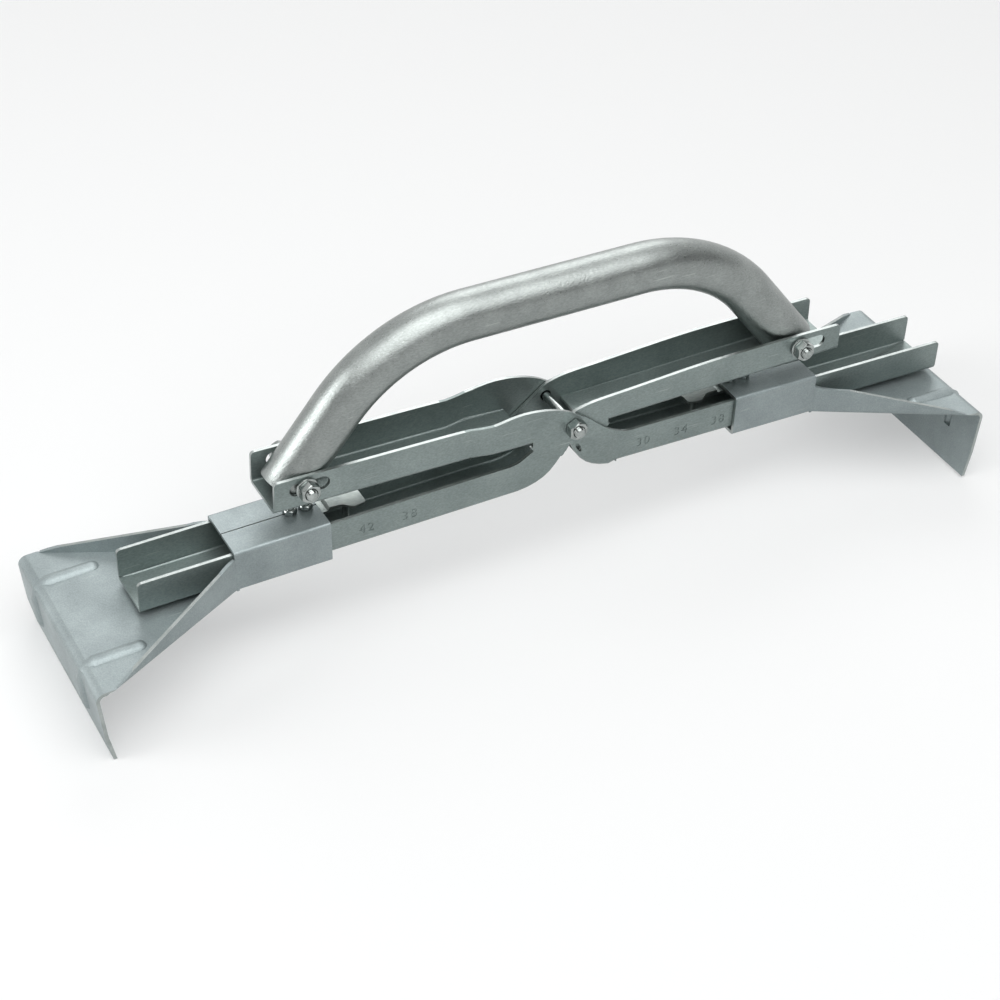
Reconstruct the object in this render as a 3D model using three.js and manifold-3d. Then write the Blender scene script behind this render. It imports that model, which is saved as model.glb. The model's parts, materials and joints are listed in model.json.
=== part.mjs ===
// Paving slab lifter: two crossed channel arms on one pivot, a bent tube handle whose ends run in
// slots, and two sliding jaws with sprung latches. Millimetres, +Z up, +X along the arms to the
// right, +Y away from the side that shows the nuts.
import * as THREE from 'three';
import { mergeVertices } from 'three/addons/utils/BufferGeometryUtils.js';
import Module from 'manifold-3d';

const wasm = await Module();
wasm.setup();

// Arms: pressed channels, open upwards, measured from the pivot.
const gap = 0.3;
const armSheet = 1.5;
const bendRadius = 2.5;
const lowerReach = 198.4;
const armOpening = 0.95;
const armHalf = 12.8;
const pivotHalf = armHalf + armSheet + gap;
const pivotPlace = [1.1, -1.8];
const webStart = 19;
const curlEnd = 25;

// Each arm's top edge is a list of points from the lower channel up over the pivot.
const outerArm = {
  widths: [[-48, armHalf], [-38, pivotHalf], [19, pivotHalf], [25, armHalf]],
  upperReach: 137.7,
  upperTop: 9.9,
  upperBase: -5.7,
  lowerTop: -13.8,
  lowerBase: -29.1,
  slotLevel: 4.35,
  crest: [
    [31, -13.8], [26, -12.8], [20.3, -9.3], [14.6, -5.2], [7.6, 0.8], [0.6, 5.4], [-3, 7.3], [-8, 9.2],
    [-15, 10.9], [-23, 11.6], [-30, 11.1], [-37, 9.9], [-44, 9.5], [-53, 9.8], [-62, 9.9],
  ],
};
const innerArm = {
  widths: [[-48, armHalf], [curlEnd, armHalf]],
  upperReach: 138.9,
  upperTop: 7.5,
  upperBase: -6.2,
  lowerTop: -14.6,
  lowerBase: -30.1,
  slotLevel: 2.05,
  crest: [
    [29, -14.6], [25, -13.9], [20.5, -11.5], [16.3, -8.8], [11.4, -5.3], [4.9, -0.4], [-0.6, 3.9],
    [-5.5, 5.5], [-11, 6.4], [-18, 6.8], [-27, 7.1], [-40, 7.7], [-60, 8.5], [-80, 8.8], [-115, 8.2],
  ],
};
const lobe = [
  [-20.5, -6.2], [-19.3, -7.8], [-17.8, -9.6], [-15.3, -10.9], [-12.8, -11.9], [-10.2, -13.1],
  [-7.7, -14.4], [-6.4, -15], [-5.1, -15.1], [-3.7, -14.6], [-2.3, -13.4], [-1.2, -11.5], [-0.4, -9.9],
];
const curlStart = [4, -18.2];
const curlMiddle = [9.5, 0.8];

// Slots for the handle bolts, in the upper channels.
const slotInner = 113;
const slotOuter = 131;
const slotHeight = 6.2;

// Latch holes in the floors of the lower channels.
const holePitch = 10;
const holeFirst = 32.9;
const holeCount = 15;
const holeLength = 6.6;
const holeWidth = 5;

// Jaws.
const jawSheet = 1.5;
const sleeveLength = 43;
const sleeveHalf = 14.6;
const sleeveHeight = 19.9;
const flareEnd = 106.6;
const jawReach = 116.6;
const jawHalf = 47.6;
const plateDrop = 1.4;
const foldRadius = 2.3;
const jawBend = 4;
const lipStart = 23;
const lipEnd = 36;
const beadOffset = 27.8;
const beadRadius = 4.2;
const beadSink = 2.4;
const beadLength = 25.5;
const beadDepth = 19.5;
const lipSteps = [1.6, 4];

// The top edge of a jaw's flanges: its first points from the sleeve outwards.
const leftJaw = { place: 114, base: -32.6, shoulder: [[0, 16.5], [3, 16.3], [6, 15.7], [9, 14.7]] };
const rightJaw = { place: 85, base: -31.9, shoulder: [[0, 14], [4.2, 12.9], [9, 12.4], [16.5, 12.1]] };

// Latches.
const leafSheet = 1.2;
const leafHalf = 6.5;
const neckHalf = 4.2;
const tabHalf = 7.4;
const tongueReach = 20;
const pinPlace = 13;
const pinRadius = 1.5;
const screwPlaces = [5, 12.2];
const screwRadius = 1.5;
const latchSeam = 0.45;

// Handle.
const tubeRadius = 11;
const tubeWall = 1.5;
const handleTop = 59.9;
const handleCorner = 77.2;
const handleShift = -4;
const handleFoot = [120.2, 5.5];
const leftBoltLevel = 6.4;
const rightBoltLevel = 4;
const handleBend = 76;
const endBelowFoot = 6.5;
const endLevel = -0.6;
const pinchedHalf = 10.4;
const handleSteps = 40;

// Bolts.
const shankRadius = 2.1;
const threadRadius = 2.4;
const nutFlats = 8;
const nutHeight = 4;

const zinc = (color, roughness = 0.42) =>
  new THREE.MeshStandardMaterial({ color, roughness, metalness: 0.85 });
const channelZinc = () => zinc(0xa9b1b0);
const jawZinc = () => zinc(0xb4bbb8, 0.48);
const tubeZinc = () => zinc(0xaab0aa, 0.38);
const brightZinc = () => zinc(0xc6cbc8, 0.25);
const springZinc = () => zinc(0x8f9695, 0.4);

const basis = (x, y, z) =>
  new THREE.Matrix4().makeBasis(new THREE.Vector3(...x), new THREE.Vector3(...y), new THREE.Vector3(...z));
const alongX = basis([0, 1, 0], [0, 0, 1], [1, 0, 0]);
const alongY = basis([1, 0, 0], [0, 0, 1], [0, -1, 0]);

function solidOf(geometry) {
  const bare = geometry.index ? geometry.toNonIndexed() : geometry.clone();
  bare.deleteAttribute('normal');
  bare.deleteAttribute('uv');
  const welded = mergeVertices(bare, 1e-4);
  return new wasm.Manifold(
    new wasm.Mesh({
      numProp: 3,
      vertProperties: new Float32Array(welded.attributes.position.array),
      triVerts: new Uint32Array(welded.index.array),
    }),
  );
}

function geometryOf(solid) {
  const mesh = solid.getMesh();
  const geometry = new THREE.BufferGeometry();
  geometry.setAttribute('position', new THREE.BufferAttribute(mesh.vertProperties, 3));
  geometry.setIndex(new THREE.BufferAttribute(mesh.triVerts, 1));
  geometry.computeVertexNormals();
  return geometry;
}

function extruded(shape, depth, curveSegments = 4) {
  return new THREE.ExtrudeGeometry(shape, { depth, bevelEnabled: false, curveSegments });
}

// A side view in X and Z, thick from y0 to y1.
function sideSolid(shape, y0, y1, curveSegments) {
  const geometry = extruded(shape, y1 - y0, curveSegments);
  return solidOf(geometry.applyMatrix4(alongY).translate(0, y1, 0));
}

// A plan view in X and Y, from z0 to z1.
function planSolid(shape, z0, z1) {
  return solidOf(extruded(shape, z1 - z0).translate(0, 0, z0));
}

// A cross section in Y and Z, from x0 to x1.
function sectionSolid(shape, x0, x1) {
  return solidOf(extruded(shape, x1 - x0, 4).applyMatrix4(alongX).translate(x0, 0, 0));
}

function boxSolid(x0, x1, y0, y1, z0, z1) {
  const geometry = new THREE.BoxGeometry(x1 - x0, y1 - y0, z1 - z0);
  return solidOf(geometry.translate((x0 + x1) / 2, (y0 + y1) / 2, (z0 + z1) / 2));
}

function cylinderY(radius, x, z, y0, y1, sides = 20) {
  const geometry = new THREE.CylinderGeometry(radius, radius, y1 - y0, sides);
  return solidOf(geometry.translate(x, (y0 + y1) / 2, z));
}

function cylinderZ(radius, x, y, z0, z1, sides = 12) {
  const geometry = new THREE.CylinderGeometry(radius, radius, z1 - z0, sides).rotateX(Math.PI / 2);
  return solidOf(geometry.translate(x, y, (z0 + z1) / 2));
}

function polygon(points) {
  const shape = new THREE.Shape();
  points.forEach(([a, b], i) => (i ? shape.lineTo(a, b) : shape.moveTo(a, b)));
  return shape.closePath();
}

function stadium(x0, x1, middle, height) {
  const r = height / 2;
  const shape = new THREE.Shape();
  shape.moveTo(x0 + r, middle - r);
  shape.lineTo(x1 - r, middle - r);
  shape.absarc(x1 - r, middle, r, -Math.PI / 2, Math.PI / 2);
  shape.lineTo(x0 + r, middle + r);
  shape.absarc(x0 + r, middle, r, Math.PI / 2, (3 * Math.PI) / 2);
  return shape;
}

// The side view of an arm: upper channel to the left, lower channel to the right, and between them
// the pivot plate with its hanging lobe, the notch under the pivot and the round end below it.
function armOutline(arm) {
  const corner = 2;
  const crestSteps = 34;
  const end = -arm.upperReach;
  const shape = new THREE.Shape();
  shape.moveTo(end, arm.upperBase);
  shape.lineTo(lobe[0][0], arm.upperBase);
  for (const [x, z] of lobe) shape.lineTo(x, z);
  shape.quadraticCurveTo(1.4, -14.2, ...curlStart);
  curl(shape, arm);
  shape.lineTo(lowerReach - corner, arm.lowerBase);
  shape.lineTo(lowerReach, arm.lowerBase + corner);
  shape.lineTo(lowerReach, arm.lowerTop - corner);
  shape.quadraticCurveTo(lowerReach, arm.lowerTop, lowerReach - corner, arm.lowerTop);
  const crest = new THREE.SplineCurve(arm.crest.map(([x, z]) => new THREE.Vector2(x, z)));
  for (const point of crest.getPoints(crestSteps)) shape.lineTo(point.x, point.y);
  shape.lineTo(end + corner, arm.upperTop);
  shape.quadraticCurveTo(end, arm.upperTop, end, arm.upperTop - corner);
  return shape.closePath();
}

// The underside of the round end, from its free edge out to the straight floor.
function curl(shape, arm) {
  const [x, rise] = curlMiddle;
  shape.quadraticCurveTo(x, arm.lowerBase + rise, curlEnd, arm.lowerBase);
}

// Half the width along an arm, whose side walls step outwards round the pivot where they have to.
function widthLine(arm) {
  const far = lowerReach + 5;
  return [[-far, arm.widths[0][1]], ...arm.widths, [far, arm.widths.at(-1)[1]]];
}

function wallStrip(arm, side) {
  const outside = widthLine(arm);
  const inside = outside.map(([x, half]) => [x, half - armSheet]).reverse();
  return polygon([...outside, ...inside].map(([x, half]) => [x, side * half]));
}

function armPlan(arm) {
  const line = widthLine(arm);
  return polygon([...line.map(([x, half]) => [x, -half]), ...line.reverse()]);
}

// The floor of the lower channel turns up round the end of the channel.
function curledFloor(arm) {
  const inside = arm.lowerBase + armSheet;
  const [x, rise] = curlMiddle;
  const shape = new THREE.Shape();
  shape.moveTo(...curlStart);
  curl(shape, arm);
  shape.lineTo(lowerReach, arm.lowerBase);
  shape.lineTo(lowerReach, inside);
  shape.lineTo(curlEnd, inside);
  shape.quadraticCurveTo(x + armSheet, inside + rise, curlStart[0] + armSheet, curlStart[1] + rise);
  return shape.closePath();
}

// Cuts the outside of a fold round, along a straight line from one point of the plan to another.
function foldCutter(radius, from, to, level) {
  const [x0, y0] = from;
  const [x1, y1] = to;
  const run = Math.hypot(x1 - x0, y1 - y0);
  const shape = new THREE.Shape();
  shape.moveTo(1, -1);
  shape.lineTo(1, radius);
  shape.lineTo(0, radius);
  shape.absarc(-radius, radius, radius, 0, -Math.PI / 2, true);
  shape.lineTo(-radius, -1);
  const bar = extruded(shape.closePath(), run, 4).applyMatrix4(alongX);
  bar.rotateZ(Math.atan2(y1 - y0, x1 - x0)).translate(x0, y0, level);
  return solidOf(bar);
}

function armFolds(arm) {
  const line = widthLine(arm);
  const cutters = [];
  for (let i = 0; i + 1 < line.length; i += 1) {
    const from = [Math.max(line[i][0], -arm.upperReach - 1), line[i][1]];
    const middle = (from[0] + line[i + 1][0]) / 2;
    const upper = middle < 0;
    const to = [upper ? Math.min(line[i + 1][0], -webStart) : line[i + 1][0], line[i + 1][1]];
    cutters.push(foldCutter(bendRadius, from, to, upper ? arm.upperBase : arm.lowerBase));
  }
  return cutters.flatMap((cutter) => [cutter, cutter.mirror([0, 1, 0])]);
}

// Rounds the fold where the floor curls up: what lies outside a block with rounded edges.
function curlCutter(arm) {
  const half = Math.max(...arm.widths.map(([, width]) => width));
  const high = 40;
  const shape = new THREE.Shape();
  shape.moveTo(-high, -high);
  shape.lineTo(curlStart[0], -high);
  shape.lineTo(...curlStart);
  curl(shape, arm);
  shape.lineTo(2 * high, arm.lowerBase);
  shape.lineTo(2 * high, high);
  shape.lineTo(-high, high);
  const rounded = new THREE.ExtrudeGeometry(shape.closePath(), {
    depth: 2 * (half - bendRadius),
    curveSegments: 6,
    bevelThickness: bendRadius,
    bevelSize: bendRadius,
    bevelOffset: -bendRadius,
    bevelSegments: 4,
  });
  const block = solidOf(rounded.applyMatrix4(alongY).translate(0, half - bendRadius, 0));
  const x = curlStart[0] - bendRadius;
  const z = curlStart[1] + bendRadius;
  const end = arm.widths.at(-1)[0];
  return boxSolid(x, end, -half - 1, half + 1, arm.lowerBase - 1, z).subtract(block);
}

function latchHoles(arm) {
  const holes = [];
  for (let i = 0; i < holeCount; i += 1) {
    const middle = holeFirst + i * holePitch;
    const hole = stadium(middle - holeLength / 2, middle + holeLength / 2, 0, holeWidth);
    holes.push(planSolid(hole, arm.lowerBase - 1, arm.lowerBase + armSheet + 1));
  }
  return holes;
}

function armSolid(arm) {
  const span = pivotHalf + 2;
  const side = sideSolid(armOutline(arm), -span, span, 6);
  const near = planSolid(wallStrip(arm, -1), -45, 20);
  const far = planSolid(wallStrip(arm, 1), -45, 20);
  const floorPlan = planSolid(armPlan(arm), -45, 20);
  const level = arm.upperBase;
  const upperFloor = boxSolid(-arm.upperReach, -webStart, -span, span, level, level + armSheet);
  const lowerFloor = sideSolid(curledFloor(arm), -span, span, 6);
  const floors = upperFloor.add(lowerFloor).intersect(floorPlan);
  let solid = side.intersect(near.add(far)).add(floors);
  solid = solid.subtract(curlCutter(arm));
  for (const cutter of [...armFolds(arm), ...latchHoles(arm)]) solid = solid.subtract(cutter);
  const slot = stadium(-slotOuter, -slotInner, arm.slotLevel, slotHeight);
  return solid.subtract(sideSolid(slot, -span, span, 8));
}

// The pivot's hole in the frame of an arm that is turned by a positive or negative angle about +Y.
function pivotHole(angle) {
  const [x, z] = pivotPlace;
  const along = x * Math.cos(angle) - z * Math.sin(angle);
  const up = x * Math.sin(angle) + z * Math.cos(angle);
  return cylinderY(threadRadius + gap, along, up, -pivotHalf - 2, pivotHalf + 2, 24);
}

// A small oblong hole beside the notch in the near wall of the outer arm.
function reliefHole() {
  const hole = new THREE.Shape().absellipse(3.9, -13.7, 0.95, 2.9, 0, 2 * Math.PI, false, 0.49);
  return sideSolid(hole, -pivotHalf - 1, -pivotHalf + armSheet + 1, 6);
}

function hexPrism(flats, height) {
  return new THREE.CylinderGeometry(flats / Math.sqrt(3), flats / Math.sqrt(3), height, 6);
}

// A nut on an axis along Y, its outer face chamfered, with a clear bore.
function nutGeometry(y0, y1) {
  const middle = (y0 + y1) / 2;
  const body = solidOf(hexPrism(nutFlats, y1 - y0).translate(0, middle, 0));
  const cone = new THREE.CylinderGeometry(nutFlats * 0.62, nutFlats * 0.5, y1 - y0, 24);
  const bore = cylinderY(threadRadius + gap, 0, 0, y0 - 1, y1 + 1);
  return geometryOf(body.intersect(solidOf(cone.translate(0, middle, 0))).subtract(bore));
}

function washerGeometry(y0, y1) {
  const disc = cylinderY(4.8, 0, 0, y0, y1, 24);
  return geometryOf(disc.subtract(cylinderY(threadRadius + gap, 0, 0, y0 - 1, y1 + 1)));
}

// A bolt turned as one profile: head at the far side, plain shank, thread and chamfered end.
function boltGeometry(headFace, threadFrom, end) {
  const length = headFace - end;
  const threaded = threadFrom - end;
  const profile = [
    [0, 0],
    [threadRadius - 0.5, 0],
    [threadRadius, 0.5],
    [threadRadius, threaded],
    [shankRadius, threaded + 0.3],
    [shankRadius, length + 1],
    [0, length + 1],
  ].map(([r, y]) => new THREE.Vector2(r, y));
  const rod = solidOf(new THREE.LatheGeometry(profile, 20).translate(0, end, 0));
  const head = solidOf(hexPrism(nutFlats, 3.5).translate(0, headFace + 1.75, 0));
  return geometryOf(rod.add(head));
}

// The centre line of the handle: a long level grip, two wide bends and two straight legs.
const [footPlace, footLevel] = handleFoot;
const handleSlope = Math.atan2(handleTop - footLevel, footPlace - handleCorner);
const bendReach = handleBend * Math.tan(handleSlope / 2);
const handleLine = {
  grip: handleCorner - bendReach,
  arc: handleBend * handleSlope,
  leg: (footPlace - handleCorner) / Math.cos(handleSlope) - bendReach + endBelowFoot + 4,
};

// How far from the middle of the handle the centre line of a leg is at a level.
const legPlace = (level) => footPlace + (footLevel - level) / Math.tan(handleSlope);

class HandleCurve extends THREE.Curve {
  getPoint(t, target = new THREE.Vector3()) {
    const { grip, arc, leg } = handleLine;
    const side = t < 0.5 ? -1 : 1;
    const along = Math.abs(t - 0.5) * 2 * (grip + arc + leg);
    const turn = Math.min(Math.max(along - grip, 0) / handleBend, handleSlope);
    const down = Math.max(along - grip - arc, 0);
    const x = Math.min(along, grip) + handleBend * Math.sin(turn) + down * Math.cos(turn);
    const z = handleTop - handleBend * (1 - Math.cos(turn)) - down * Math.sin(turn);
    return target.set(side * x, 0, z);
  }
}

// A round rod swept along a curve.
function sweptRod(curve, radius, sides, steps) {
  const ring = new THREE.Shape().absarc(0, 0, radius, 0, 2 * Math.PI);
  return new THREE.ExtrudeGeometry(ring, { extrudePath: curve, steps, curveSegments: sides / 2 });
}

// The tube is pressed a little narrower across its right end.
function pinched(geometry) {
  const place = geometry.attributes.position;
  for (let i = 0; i < place.count; i += 1) {
    const share = THREE.MathUtils.smoothstep(place.getX(i), 88, 104);
    place.setY(i, place.getY(i) * (1 - share * (1 - pinchedHalf / tubeRadius)));
  }
  return geometry;
}

function handleGeometry() {
  const outer = solidOf(pinched(sweptRod(new HandleCurve(), tubeRadius, 20, handleSteps)));
  const inner = solidOf(pinched(sweptRod(new HandleCurve(), tubeRadius - tubeWall, 14, handleSteps)));
  let tube = outer.subtract(inner);
  const reach = endBelowFoot + 10;
  for (const side of [-1, 1]) {
    const x = side * (footPlace + reach * Math.cos(handleSlope));
    const z = footLevel - reach * Math.sin(handleSlope);
    const cutter = new THREE.BoxGeometry(20, 40, 60).rotateY(side * handleSlope);
    tube = tube.subtract(solidOf(cutter.translate(x, 0, z)));
    const level = side < 0 ? leftBoltLevel : rightBoltLevel;
    tube = tube.subtract(cylinderY(threadRadius + gap, side * legPlace(level), level, -20, 20));
  }
  return geometryOf(tube.subtract(boxSolid(-200, 200, -20, 20, -40, endLevel)));
}

// The side view of the sheet from the flat plate over the outer bend and down the gripping face.
function jawSheetLine(offset) {
  const bendSteps = 5;
  const r = jawBend - offset;
  const low = jawSheet - plateDrop;
  const line = [
    [sleeveLength - 1, jawSheet - offset],
    [jawReach - jawBend, low - offset],
  ];
  for (let i = 1; i <= bendSteps; i += 1) {
    const angle = (Math.PI / 2) * (i / bendSteps);
    line.push([jawReach - jawBend + r * Math.sin(angle), low - jawBend + r * Math.cos(angle)]);
  }
  line.push([jawReach - lipSteps[0] - offset, -lipStart]);
  line.push([jawReach - lipSteps[1] - offset, -lipEnd]);
  return line;
}

function jawPlan() {
  return polygon([
    [0, -sleeveHalf],
    [sleeveLength, -sleeveHalf],
    [flareEnd, -jawHalf],
    [jawReach + 1, -jawHalf],
    [jawReach + 1, jawHalf],
    [flareEnd, jawHalf],
    [sleeveLength, sleeveHalf],
    [0, sleeveHalf],
  ]);
}

function sleeveSection() {
  const r = 1.8;
  const box = (half, low, high, radius) => {
    const shape = new THREE.Shape();
    shape.moveTo(-half + radius, low);
    shape.lineTo(half - radius, low);
    shape.quadraticCurveTo(half, low, half, low + radius);
    shape.lineTo(half, high - radius);
    shape.quadraticCurveTo(half, high, half - radius, high);
    shape.lineTo(-half + radius, high);
    shape.quadraticCurveTo(-half, high, -half, high - radius);
    shape.lineTo(-half, low + radius);
    shape.quadraticCurveTo(-half, low, -half + radius, low);
    return shape;
  };
  const outside = box(sleeveHalf, 0, sleeveHeight, r);
  outside.holes.push(box(sleeveHalf - jawSheet, jawSheet, sleeveHeight - jawSheet, r - jawSheet));
  return outside;
}

// The flange stands on the flared edge of the plate and runs out to nothing at the outer corner.
function flange(side, shoulder) {
  const run = Math.hypot(flareEnd - sleeveLength, jawHalf - sleeveHalf);
  const turn = Math.atan2(jawHalf - sleeveHalf, flareEnd - sleeveLength);
  const shape = new THREE.Shape();
  shape.moveTo(0, 0);
  for (const [along, high] of shoulder) shape.lineTo(along, high);
  shape.lineTo(run, jawSheet);
  shape.lineTo(run, -plateDrop);
  const geometry = extruded(shape.closePath(), jawSheet, 4).applyMatrix4(alongY);
  geometry.translate(0, jawSheet, 0).rotateZ(-turn).translate(sleeveLength, -sleeveHalf, 0);
  const solid = solidOf(geometry);
  return side < 0 ? solid : solid.mirror([0, 1, 0]);
}

// The fold between plate and flange is round outside.
function flangeFolds() {
  const from = [sleeveLength, sleeveHalf];
  const cutter = foldCutter(foldRadius, from, [jawReach, jawHalf + 5], -plateDrop / 2);
  return [cutter, cutter.mirror([0, 1, 0])];
}

// The middle line of a bead, which runs out along the plate, over the bend and down the face.
function beadCurve(side) {
  const level = jawSheet - plateDrop - beadSink;
  const face = jawReach - beadSink - 0.4;
  const at = (u, z) => new THREE.Vector3(u, side * beadOffset, z);
  const curve = new THREE.CurvePath();
  const start = at(jawReach - beadLength, level + 0.3);
  const over = at(face - jawBend, level);
  const under = at(face, level - jawBend);
  const end = at(face - 1, -beadDepth);
  curve.add(new THREE.LineCurve3(start, over));
  curve.add(new THREE.QuadraticBezierCurve3(over, at(face, level), under));
  curve.add(new THREE.LineCurve3(under, end));
  return { curve, start, end };
}

// One folded sheet, with two beads pressed up across its bend: round outside, hollow underneath.
function jawSolid(shoulder) {
  const outside = jawSheetLine(0);
  const inside = jawSheetLine(jawSheet);
  const sheet = sideSolid(polygon([...outside, ...[...inside].reverse()]), -jawHalf, jawHalf);
  const cavity = sideSolid(polygon([...inside, [sleeveLength - 1, -lipEnd]]), -jawHalf, jawHalf);
  const open = sleeveHalf - jawSheet;
  const flanges = flange(-1, shoulder).add(flange(1, shoulder));
  let jaw = sheet.add(flanges).intersect(planSolid(jawPlan(), -60, 30));
  for (const cutter of flangeFolds()) jaw = jaw.subtract(cutter);
  jaw = jaw.subtract(boxSolid(0, sleeveLength, -open, open, jawSheet, sleeveHeight));
  jaw = jaw.add(sectionSolid(sleeveSection(), 0, sleeveLength));
  jaw = jaw.subtract(boxSolid(-1, sleeveLength + 1, -0.25, 0.25, sleeveHeight - 3, sleeveHeight + 1));
  for (const place of screwPlaces) {
    jaw = jaw.subtract(cylinderZ(screwRadius + gap, place, 0, sleeveHeight - 3, sleeveHeight + 1));
  }
  for (const side of [-1, 1]) {
    const { curve, start, end } = beadCurve(side);
    const nose = new THREE.SphereGeometry(beadRadius, 12, 8);
    const first = solidOf(nose.clone().rotateX(Math.PI / 2).translate(...start));
    const last = solidOf(nose.clone().translate(...end));
    const round = solidOf(sweptRod(curve, beadRadius, 12, 12));
    jaw = jaw.add(round.add(first).add(last).subtract(cavity));
    jaw = jaw.subtract(solidOf(sweptRod(curve, beadRadius - jawSheet, 8, 12)));
  }
  return jaw;
}

// The clamped root of the latch spring, under the top of the sleeve.
function springRoot() {
  const top = sleeveHeight - jawSheet - gap;
  let root = boxSolid(latchSeam, 16.5, -leafHalf, leafHalf, top - leafSheet, top);
  for (const place of screwPlaces) {
    root = root.subtract(cylinderZ(screwRadius + gap, place, 0, top - 5, top + 5));
  }
  return geometryOf(root);
}

// The free end of the spring: a narrow neck, a finger tab with round corners and the locking pin
// below it.
function latchTongue(pinLength) {
  const top = sleeveHeight - jawSheet - gap;
  const step = 1.6;
  const bendAt = 3.2;
  const root = latchSeam - gap;
  const side = polygon([
    [root, top],
    [-bendAt, top],
    [-bendAt - 1, top + step],
    [-tongueReach, top + step - 1],
    [-tongueReach, top + step - 1 - leafSheet],
    [-bendAt - 0.6, top + step - leafSheet],
    [-bendAt + 0.6, top - leafSheet],
    [root, top - leafSheet],
  ]);
  const plan = new THREE.Shape();
  plan.moveTo(root, -neckHalf);
  plan.lineTo(root, neckHalf);
  plan.lineTo(-8.6, neckHalf);
  plan.quadraticCurveTo(-10, neckHalf, -11.2, 5.4);
  plan.quadraticCurveTo(-13, tabHalf, -14.5, tabHalf);
  plan.lineTo(-tongueReach + 2.5, tabHalf - 0.6);
  plan.quadraticCurveTo(-tongueReach, tabHalf - 0.8, -tongueReach, tabHalf - 3);
  plan.lineTo(-tongueReach, 3 - tabHalf);
  plan.quadraticCurveTo(-tongueReach, 0.8 - tabHalf, -tongueReach + 2.5, 0.6 - tabHalf);
  plan.lineTo(-14.5, -tabHalf);
  plan.quadraticCurveTo(-13, -tabHalf, -11.2, -5.4);
  plan.quadraticCurveTo(-10, -neckHalf, -8.6, -neckHalf);
  const sheet = sideSolid(side, -10, 10).intersect(planSolid(plan.closePath(), 0, 40));
  const seat = top + step - leafSheet;
  const pin = cylinderZ(pinRadius, -pinPlace, 0, seat - pinLength, seat + 0.4, 16);
  return geometryOf(sheet.add(pin));
}

// A small screw: its head below the spring, its end in a nut on top of the sleeve.
function latchScrew() {
  const under = sleeveHeight - jawSheet - gap - leafSheet - gap;
  const profile = [
    [0, under - 1.4],
    [2.2, under - 1.4],
    [2.7, under - 0.9],
    [2.7, under],
    [screwRadius, under],
    [screwRadius, sleeveHeight + 2.8],
    [screwRadius - 0.5, sleeveHeight + 3.3],
    [0, sleeveHeight + 3.3],
  ].map(([r, z]) => new THREE.Vector2(r, z));
  return new THREE.LatheGeometry(profile, 12).rotateX(Math.PI / 2);
}

function latchNut() {
  const low = sleeveHeight + gap;
  const height = 2.2;
  const flats = 5.5;
  const hex = hexPrism(flats, height).rotateX(Math.PI / 2).translate(0, 0, low + height / 2);
  const cone = new THREE.CylinderGeometry(flats * 0.5, flats * 0.62, height, 24).rotateX(Math.PI / 2);
  const body = solidOf(hex).intersect(solidOf(cone.translate(0, 0, low + height / 2)));
  return geometryOf(body.subtract(cylinderZ(screwRadius + gap, 0, 0, low - 1, low + height + 1)));
}

const lifter = new THREE.Group();

function place(parent, name, geometry, material, position = [0, 0, 0]) {
  const mesh = new THREE.Mesh(geometry, material);
  mesh.name = name;
  mesh.position.set(...position);
  parent.add(mesh);
  return mesh;
}

// Each arm has a frame turned about the pivot, and the inner arm is the outer one the other way
// round. Positive turns about +Y lower the right-hand end.
const outerFrame = new THREE.Group();
outerFrame.rotation.y = THREE.MathUtils.degToRad(armOpening);
const innerFrame = new THREE.Group();
innerFrame.rotation.y = THREE.MathUtils.degToRad(-armOpening);
lifter.add(outerFrame, innerFrame);

function armPair() {
  const tilt = outerFrame.rotation.y;
  const outer = armSolid(outerArm).subtract(reliefHole()).subtract(pivotHole(tilt));
  const inner = armSolid(innerArm).mirror([1, 0, 0]).subtract(pivotHole(-tilt));
  place(outerFrame, 'outer_arm', geometryOf(outer), channelZinc());
  place(innerFrame, 'inner_arm', geometryOf(inner), channelZinc());
}

function pivotSet() {
  const face = pivotHalf + gap;
  const nutEnd = -face - nutHeight;
  const spot = [pivotPlace[0], 0, pivotPlace[1]];
  place(lifter, 'pivot_bolt', boltGeometry(face, -8, nutEnd - 1.6), brightZinc(), spot);
  place(lifter, 'pivot_nut', nutGeometry(nutEnd, -face), brightZinc(), spot);
}

function handleBoltSet(name, side, level) {
  const x = handleShift + side * legPlace(level);
  const face = armHalf + gap;
  const washer = 1;
  const nutStart = -face - washer - gap;
  const nutEnd = nutStart - nutHeight;
  const spot = [x, 0, level];
  const bolt = boltGeometry(face, -armHalf + armSheet + 1, nutEnd - 1.6);
  place(lifter, `${name}_handle_bolt`, bolt, brightZinc(), spot);
  place(lifter, `${name}_handle_washer`, washerGeometry(-face - washer, -face), brightZinc(), spot);
  place(lifter, `${name}_handle_nut`, nutGeometry(nutEnd, nutStart), brightZinc(), spot);
}

function jawSet(name, jaw, arm, frame) {
  const set = new THREE.Group();
  const side = name === 'left' ? -1 : 1;
  set.position.set(side * jaw.place, 0, jaw.base);
  set.rotation.z = side < 0 ? Math.PI : 0;
  frame.add(set);
  const pinTop = jaw.base + sleeveHeight - jawSheet - gap + 1.6 - leafSheet;
  const pinLength = pinTop - (arm.lowerBase + armSheet + gap);
  place(set, `${name}_jaw`, geometryOf(jawSolid(jaw.shoulder)), jawZinc());
  place(set, `${name}_spring_root`, springRoot(), springZinc());
  place(set, `${name}_latch_tongue`, latchTongue(pinLength), springZinc());
  screwPlaces.forEach((along, i) => {
    place(set, `${name}_latch_screw_${i + 1}`, latchScrew(), brightZinc(), [along, 0, 0]);
    place(set, `${name}_latch_nut_${i + 1}`, latchNut(), brightZinc(), [along, 0, 0]);
  });
}

armPair();
pivotSet();
place(lifter, 'handle_tube', handleGeometry(), tubeZinc(), [handleShift, 0, 0]);
handleBoltSet('left', -1, leftBoltLevel);
handleBoltSet('right', 1, rightBoltLevel);
jawSet('left', leftJaw, innerArm, innerFrame);
jawSet('right', rightJaw, outerArm, outerFrame);

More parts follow.
